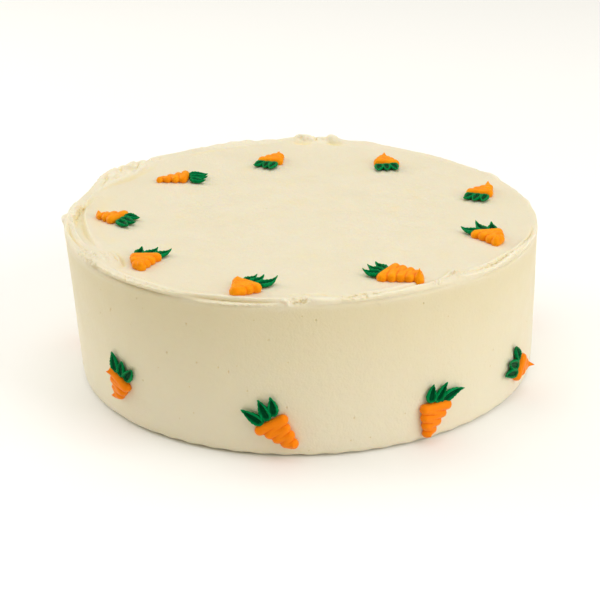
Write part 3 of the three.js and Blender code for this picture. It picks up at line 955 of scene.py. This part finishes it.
def press_leaf(foot, tip, curl, bend, wide, rise, seed):
    """A copy of the standard leaf from its foot to its tip, flat on the icing."""
    copy = copy_of(standard_leaf)
    points = points_of(copy)
    along, side, up = points.T
    reach = math.dist(foot, tip)
    stations = np.array(LEAF_STATIONS + [(1, 0.05, 0)])
    share = np.clip(side / np.interp(along, stations[:, 0], stations[:, 1]), -1, 1)
    upper = np.clip(up / 0.5, 0, 1)
    middle = np.clip((along - 0.04) / 0.14, 0, 1) * np.clip((0.97 - along) / 0.3, 0, 1)
    hollow = np.exp(-((share / 0.52) ** 4)) * middle * upper
    ridges = np.cos(share * 15 + 1.2 * np.sin(7 * along + seed)) * hollow
    ripples = np.sin(along * reach * 4.2 + 2 * share + seed) * upper * middle * (1 - hollow)
    across = side * LEAF_HALF_WIDTH * wide
    height = LEAF_HALF_HEIGHT * (1 + up)
    height += 0.3 * upper * grip(np.abs(share) - 0.78, 0.2) * middle
    height += -1.25 * hollow + 0.16 * ridges + 0.12 * ripples
    across += 0.1 * np.sin(along * reach * 3.1 + seed) * share
    height += curl * np.clip((along - 0.55) / 0.45, 0, 1) ** 2.2 + rise * (1 - along)
    across += bend * along**2.5 - bend * along
    way = (np.array(tip) - foot) / reach
    laid = np.c_[
        foot[0] + way[0] * along * reach - way[1] * across,
        foot[1] + way[1] * along * reach + way[0] * across,
        np.maximum(height, 0),
    ]
    put_points(copy, laid)
    # painted shade for the hollow between the leaf's raised edges
    paint(copy, "hollow", hollow)
    # painted highlight on the raised edges and the curled point of a leaf
    brim = grip(np.abs(share) - 0.84, 0.14) * middle * upper
    paint(copy, "brim", brim + np.clip((along - 0.8) * 4, 0, 1))
    return copy


# %% Each tuft: curl, bend and width of its three leaves
LEAVES = {
    "top_1": [(1.4, 0.5, 0.95), (0.9, 0, 1), (1.2, -0.4, 1)],
    "top_2": [(1.6, 0.6, 0.9), (1.3, 0.3, 0.95), (1.0, -0.5, 0.95)],
    "top_3": [(1.0, 0.8, 1), (1.4, 0.4, 1), (0.6, 0, 1)],
    "top_4": [(1.9, 0.6, 1), (1.7, 0.3, 0.95), (1.8, -0.4, 0.9)],
    "top_5": [(2.6, 1.0, 1.05), (2.1, 0.2, 0.9), (2.0, -0.3, 0.85)],
    "top_6": [(1.8, 0.4, 1), (2.2, 0.3, 1), (2.4, -0.4, 1.05)],
    "top_7": [(1.9, 0.3, 0.95), (2.5, 0, 1), (1.7, -0.8, 1)],
    "top_8": [(0.9, 0.2, 1), (0.6, 0, 1.05), (0.8, -0.2, 0.95)],
    "top_9": [(0.8, 0.2, 1), (0.7, 0, 1), (0.9, -0.2, 1)],
    "wall_1": [(0.9, 0.6, 1), (0.8, -0.3, 1), (0.8, -0.5, 1.15)],
    "wall_2": [(0.8, 1.2, 0.95), (0.9, -0.3, 1), (0.7, -0.5, 1)],
    "wall_3": [(0.9, -3.6, 1), (1.0, 0.9, 0.85), (0.7, -0.3, 1)],
    "wall_4": [(1.2, 1.8, 0.9), (1.6, -0.8, 1.1), (1.4, 1.2, 0.95)],
    "wall_5": [(1.0, 0.4, 1), (0.8, 0, 1), (0.9, -0.5, 0.9)],
    "wall_6": [(0.9, 0.9, 0.95), (1.1, 0, 1), (0.8, -0.6, 1)],
    "wall_7": [(0.8, 0.6, 0.9), (1.0, 0.2, 1), (0.9, -0.4, 1)],
    "wall_8": [(1.2, 0.3, 1), (0.9, 0, 1), (1.0, -0.7, 0.9)],
    "wall_9": [(0.9, 1.0, 0.9), (0.8, 0.2, 1), (0.9, -0.3, 1)],
}
for seed, (place, shapes) in enumerate(LEAVES.items()):
    tuft = []
    for i, ((curl, bend, wide), tip) in enumerate(zip(shapes, tip_spots[place])):
        foot = np.array((0.9, (1 - i) * LEAF_SPACING))
        tuft.append(press_leaf(foot, tip, curl, bend, wide, 0.25 + 0.18 * i, 3.7 * seed + i))
    leaves = join_as(f"piped_leaves_{place}", tuft)
    put_points(leaves, seats[place].lay(points_of(leaves)))
    leaves.data.shade_smooth()
    finish_piece(leaves, "green_icing", f"carrot_leaves_{place}")
print("a tuft has", len(leaves.data.polygons), "faces")

for pattern in (standard_pass, standard_leaf):
    bpy.data.objects.remove(pattern)


# %% [markdown]
# ## The icings
#
# Cream-cheese icing is an opaque, slightly fatty paste. Light enters it a little, so its
# shadows stay warm, and its gloss is soft. Its colour is not quite even, and much of that is
# painted light and shade: a warm yellow painted shade in the furrows and crevices, painted shade
# in the air pits, painted highlights on the narrow ridges, painted light at the foot of the wall
# and a yellower painted shade under the lip. The rim is paler along its soft lumps. The piped
# icings are the same paste with food colour in it, with painted shade in the creases of the
# roots and the hollows of the leaves, painted highlights on the leaves' edges and points, and a
# redder painted shade on the roots low on the wall.

# %% Helpers for the materials
def new_material(name):
    material = bpy.data.materials.new(name)
    material.use_nodes = True
    tree = material.node_tree
    tree.nodes.clear()
    output = tree.nodes.new("ShaderNodeOutputMaterial")
    shader = tree.nodes.new("ShaderNodeBsdfPrincipled")
    tree.links.new(shader.outputs["BSDF"], output.inputs["Surface"])
    return material, tree, shader


def noise_node(tree, size_mm, detail=3.0, stretch=(1, 1, 1)):
    """Noise on Object coordinates, with swells of about this size."""
    place = tree.nodes.new("ShaderNodeTexCoord")
    turn = tree.nodes.new("ShaderNodeMapping")
    turn.inputs["Scale"].default_value = stretch
    texture = tree.nodes.new("ShaderNodeTexNoise")
    texture.inputs["Scale"].default_value = 1 / (size_mm * MM)
    texture.inputs["Detail"].default_value = detail
    tree.links.new(place.outputs["Object"], turn.inputs["Vector"])
    tree.links.new(turn.outputs["Vector"], texture.inputs["Vector"])
    return texture.outputs["Fac"]


def height_node(tree, slope_x=0.0, slope_y=0.0):
    """Height over the floor, or over a floor that slopes with the top."""
    place = tree.nodes.new("ShaderNodeTexCoord")
    rise = tree.nodes.new("ShaderNodeVectorMath")
    rise.operation = "DOT_PRODUCT"
    rise.inputs[1].default_value = (-slope_x, -slope_y, 1)
    tree.links.new(place.outputs["Object"], rise.inputs[0])
    return rise.outputs["Value"]


def ramp(tree, value, low, high, start=0.0, end=1.0):
    """Turns a value between low and high into one between start and end."""
    scale = tree.nodes.new("ShaderNodeMapRange")
    scale.inputs["From Min"].default_value = low
    scale.inputs["From Max"].default_value = high
    scale.inputs["To Min"].default_value = start
    scale.inputs["To Max"].default_value = end
    tree.links.new(value, scale.inputs["Value"])
    return scale.outputs["Result"]


def mix_colours(tree, share, first, second):
    """Mixes two colours, each a tuple or another node's output."""
    mix = tree.nodes.new("ShaderNodeMix")
    mix.data_type = "RGBA"
    tree.links.new(share, mix.inputs["Factor"])
    for socket, colour in ((mix.inputs["A"], first), (mix.inputs["B"], second)):
        if isinstance(colour, tuple):
            socket.default_value = (*colour, 1)
        else:
            tree.links.new(colour, socket)
    return mix.outputs["Result"]


def mottled(tree, size_mm, low, high, first, second):
    """Two colours that run into each other in swells of this size."""
    share = ramp(tree, noise_node(tree, size_mm), low, high)
    return mix_colours(tree, share, first, second)


def mix_where(tree, name, low, high, most, tint, colour):
    """Mixes a colour into the tint where the attribute of this name goes from low to high."""
    reader = tree.nodes.new("ShaderNodeAttribute")
    reader.attribute_name = name
    share = ramp(tree, reader.outputs["Fac"], low, high, 0, most)
    return mix_colours(tree, share, tint, colour)


def add_bump(tree, shader, *layers):
    """Fine relief: each layer is a height and how deep it is in mm."""
    previous = None
    for height, depth in layers:
        bump = tree.nodes.new("ShaderNodeBump")
        bump.inputs["Distance"].default_value = depth * MM
        bump.inputs["Strength"].default_value = 1
        tree.links.new(height, bump.inputs["Height"])
        if previous:
            tree.links.new(previous, bump.inputs["Normal"])
        previous = bump.outputs["Normal"]
    tree.links.new(previous, shader.inputs["Normal"])


def set_gloss(tree, shader, size_mm, smoothest, roughest, level):
    """A gloss that varies in swells of this size."""
    roughness = ramp(tree, noise_node(tree, size_mm), 0.3, 0.7, smoothest, roughest)
    tree.links.new(roughness, shader.inputs["Roughness"])
    shader.inputs["Specular IOR Level"].default_value = level


def let_light_in(shader, weight, depths_mm):
    shader.inputs["Subsurface Weight"].default_value = weight
    shader.inputs["Subsurface Radius"].default_value = depths_mm
    shader.inputs["Subsurface Scale"].default_value = MM


# %% Cream icing
CREAM = (0.76, 0.694, 0.538)
WARM_CREAM = (0.752, 0.683, 0.517)
# painted light at the foot of the wall and painted shade under the lip
BOUNCE_LIT_FOOT_CREAM = (0.81, 0.744, 0.59)
SHADED_LIP_CREAM = (0.725, 0.639, 0.436)
# a warm yellow painted shade for the furrows and crevices of the coat
WARM_SHADE_YELLOW = (0.82, 0.68, 0.32)
# the paler cream of the rim's soft lumps, also used as a painted highlight on the ridges
PALE_CREAM_AND_HIGHLIGHT = (0.85, 0.81, 0.68)
PIT_SHADE = (0.56, 0.42, 0.17)

cream, tree, shader = new_material("cream_cheese_icing")
tint = mottled(tree, 26, 0.35, 0.65, CREAM, WARM_CREAM)
height = height_node(tree, TOP_PLANE[0], TOP_PLANE[1])
# painted light and shade on the wall: lighter at the foot, as if lit by the floor, and darker and
# yellower up under the lip, as in its shade
up_the_wall = ramp(tree, height, 6 * MM, 66 * MM)
wall_light_and_shade = mix_colours(tree, up_the_wall, BOUNCE_LIT_FOOT_CREAM, SHADED_LIP_CREAM)
over_the_rim = ramp(tree, height, 69.5 * MM, 73.5 * MM)
tint = mix_colours(tree, over_the_rim, wall_light_and_shade, tint)
# paler along the soft lumps of the rim
tint = mix_where(tree, "paler_rim", 0, 1, 0.5, tint, PALE_CREAM_AND_HIGHLIGHT)
# painted highlight on the narrow raised ridges
tint = mix_where(tree, "pale", 0, 1, 0.55, tint, PALE_CREAM_AND_HIGHLIGHT)
# painted shade, warm yellow, in the pressed furrows
tint = mix_where(tree, "furrow_shade", 0, 1, 0.7, tint, WARM_SHADE_YELLOW)
tint = mix_where(tree, "pit", 0.2, 0.95, 0.7, tint, PIT_SHADE)
# painted shade, warm yellow, in the crevices
tint = mix_where(tree, "crevice_shade", 0.15, 0.9, 0.4, tint, WARM_SHADE_YELLOW)
tree.links.new(tint, shader.inputs["Base Color"])
set_gloss(tree, shader, 9, 0.42, 0.58, 0.35)
let_light_in(shader, 0.35, (2.4, 1.6, 0.8))
add_bump(
    tree, shader,
    (noise_node(tree, 2.6, 2.0), 0.2),
    (noise_node(tree, 0.9, 2.0), 0.14),
    (noise_node(tree, 6, 3.0, (1, 1, 3.5)), 0.12),
)
coat.data.materials.clear()
coat.data.materials.append(cream)
print("the cream icing is", CREAM)

# %% Orange icing
ORANGE = (0.92, 0.262, 0.004)
# a redder painted shade for the roots on the wall
SHADED_WALL_ORANGE = (0.94, 0.238, 0.006)
# painted shade for the creases
CREASE_SHADE_ORANGE = (0.78, 0.095, 0.002)
PALE_ORANGE = (0.95, 0.335, 0.006)

orange, tree, shader = new_material("orange_piped_icing")
tint = mottled(tree, 3.5, 0.35, 0.65, ORANGE, PALE_ORANGE)
# painted shade: the roots low on the wall are redder, fading out between 30 and 60 mm up
up_to_the_top = ramp(tree, height_node(tree), 30 * MM, 60 * MM)
tint = mix_colours(tree, up_to_the_top, SHADED_WALL_ORANGE, tint)
# painted shade in the creases between the passes
tint = mix_where(tree, "crease", 0.02, 0.75, 1, tint, CREASE_SHADE_ORANGE)
tree.links.new(tint, shader.inputs["Base Color"])
set_gloss(tree, shader, 2, 0.36, 0.5, 0.36)
shader.inputs["Specular Tint"].default_value = (1, 0.6, 0.05, 1)
let_light_in(shader, 0.15, (1.6, 0.7, 0.2))
add_bump(
    tree, shader,
    (noise_node(tree, 1.1, 2.0), 0.09),
    (noise_node(tree, 0.35, 2.0), 0.02),
)
print("the orange icing is", ORANGE)

# %% Green icing
GREEN = (0.0005, 0.135, 0.034)
# a lighter green for the mottle, also a painted highlight on the edges and points
LIGHT_GREEN_AND_HIGHLIGHT = (0.0005, 0.25, 0.07)
# painted shade for the hollows of the leaves
HOLLOW_SHADE_GREEN = (0.0003, 0.04, 0.012)

green, tree, shader = new_material("green_piped_icing")
tint = mottled(tree, 1.5, 0.3, 0.7, GREEN, LIGHT_GREEN_AND_HIGHLIGHT)
# painted shade in the hollow of each leaf
tint = mix_where(tree, "hollow", 0.1, 0.8, 0.9, tint, HOLLOW_SHADE_GREEN)
# painted highlight on the edges and points of the leaves
tint = mix_where(tree, "brim", 0.1, 0.9, 0.8, tint, LIGHT_GREEN_AND_HIGHLIGHT)
tree.links.new(tint, shader.inputs["Base Color"])
set_gloss(tree, shader, 1.2, 0.34, 0.5, 0.12)
shader.inputs["Specular Tint"].default_value = (0.0, 1, 0.45, 1)
let_light_in(shader, 0.08, (0.5, 1.2, 0.6))
add_bump(
    tree, shader,
    (noise_node(tree, 0.6, 3.0), 0.12),
    (noise_node(tree, 0.25, 2.0), 0.03),
)

for piece in bpy.context.scene.objects:
    if piece.name.startswith("piped_"):
        piece.data.materials.clear()
        piece.data.materials.append(orange if "root" in piece.name else green)
print("the green icing is", GREEN)


# %% [markdown]
# ## Floor and light
#
# The cake stands on a plain pale floor under soft studio light. The surroundings are a pale
# ceiling that darkens towards the horizon, so the top is lighter than the wall. One large soft
# lamp stands at the front right, one at the far left and a weaker one hangs over the cake, so
# the wall is darkest a little left of its middle.

# %% The floor and the surroundings
FLOOR = (0.94, 0.94, 0.94)
PALER_FLOOR = (0.95, 0.95, 0.95)
FLOOR_RADIUS = 6
CEILING = (0.96, 0.95, 0.955)
HORIZON = (0.25, 0.203, 0.015)

bpy.ops.object.select_all(action="DESELECT")
bpy.ops.mesh.primitive_circle_add(vertices=128, radius=FLOOR_RADIUS, fill_type="NGON")
floor = bpy.context.active_object
floor.name = "floor"
floor_finish, tree, shader = new_material("pale_floor")
tint = mottled(tree, 400, 0, 1, FLOOR, PALER_FLOOR)
tree.links.new(tint, shader.inputs["Base Color"])
shader.inputs["Roughness"].default_value = 0.8
shader.inputs["Specular IOR Level"].default_value = 0.1
floor.data.materials.append(floor_finish)

world = bpy.data.worlds.new("soft surroundings")
bpy.context.scene.world = world
world.use_nodes = True
tree = world.node_tree
place = tree.nodes.new("ShaderNodeTexCoord")
split = tree.nodes.new("ShaderNodeSeparateXYZ")
tree.links.new(place.outputs["Generated"], split.inputs["Vector"])
upwards = ramp(tree, split.outputs["Z"], 0.12, 1)
sky = mix_colours(tree, upwards, HORIZON, CEILING)
tree.links.new(sky, tree.nodes["Background"].inputs["Color"])
bpy.context.scene.view_settings.view_transform = "Standard"
bpy.context.scene.view_settings.look = "None"
print("the floor is", 2 * FLOOR_RADIUS, "m wide")


# %% The lamps
def soft_lamp(name, azimuth, rise, distance, size, power):
    """A square white lamp that looks at the cake from an azimuth and a rise in degrees."""
    lamp = bpy.data.objects.new(name, bpy.data.lights.new(name, "AREA"))
    bpy.context.scene.collection.objects.link(lamp)
    lamp.data.size = size
    lamp.data.energy = power
    a, e = math.radians(azimuth), math.radians(rise)
    away = Vector((math.cos(a) * math.cos(e), math.sin(a) * math.cos(e), math.sin(e)))
    lamp.location = away * distance
    lamp.rotation_euler = (-away).to_track_quat("-Z", "Y").to_euler()


soft_lamp("key lamp", 328, 30, 1.3, 0.8, 7.0)
soft_lamp("left lamp", 158, 26, 1.4, 0.8, 6.7)
soft_lamp("top lamp", 90, 80, 1.4, 1.0, 4.0)
print("the light comes from", len(bpy.data.lights), "lamps")
